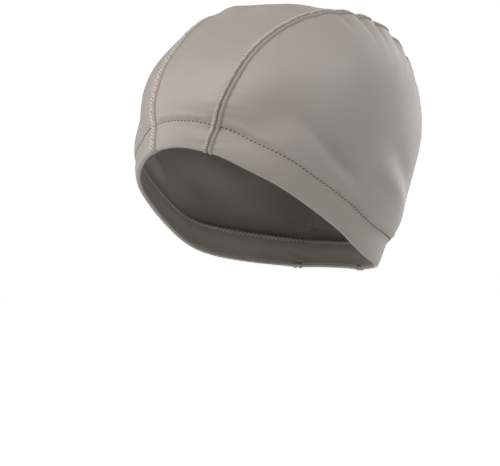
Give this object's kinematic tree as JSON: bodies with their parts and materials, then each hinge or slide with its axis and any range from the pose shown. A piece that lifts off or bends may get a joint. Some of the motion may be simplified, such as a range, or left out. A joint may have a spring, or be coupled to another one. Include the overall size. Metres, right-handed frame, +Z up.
{
  "type": "fabric swim cap",
  "caption": "Stretch-fabric swim cap in its worn form: centre strip and side panels joined by raised seams over the crown, with a turned-up hem.",
  "frame": {"origin": "inside of the cap at its highest point, where the top of the wearer's head sits", "axes": "+Z up, -Y towards the forehead, +X towards the wearer's left"},
  "size_m": [0.155, 0.1849, 0.1567],
  "materials": {
    "coated_fabric": "stretch knit with a thin satin coating, warm silver grey",
    "seam_thread": "close rows of pale textured thread over the folded allowance"
  },
  "bodies": {
    "root": {"centre_panel": "coated_fabric", "side_panel_left": "coated_fabric", "side_panel_right": "coated_fabric", "seam_left": "seam_thread", "seam_right": "seam_thread", "hem_turning": "coated_fabric"}
  },
  "joints": []
}
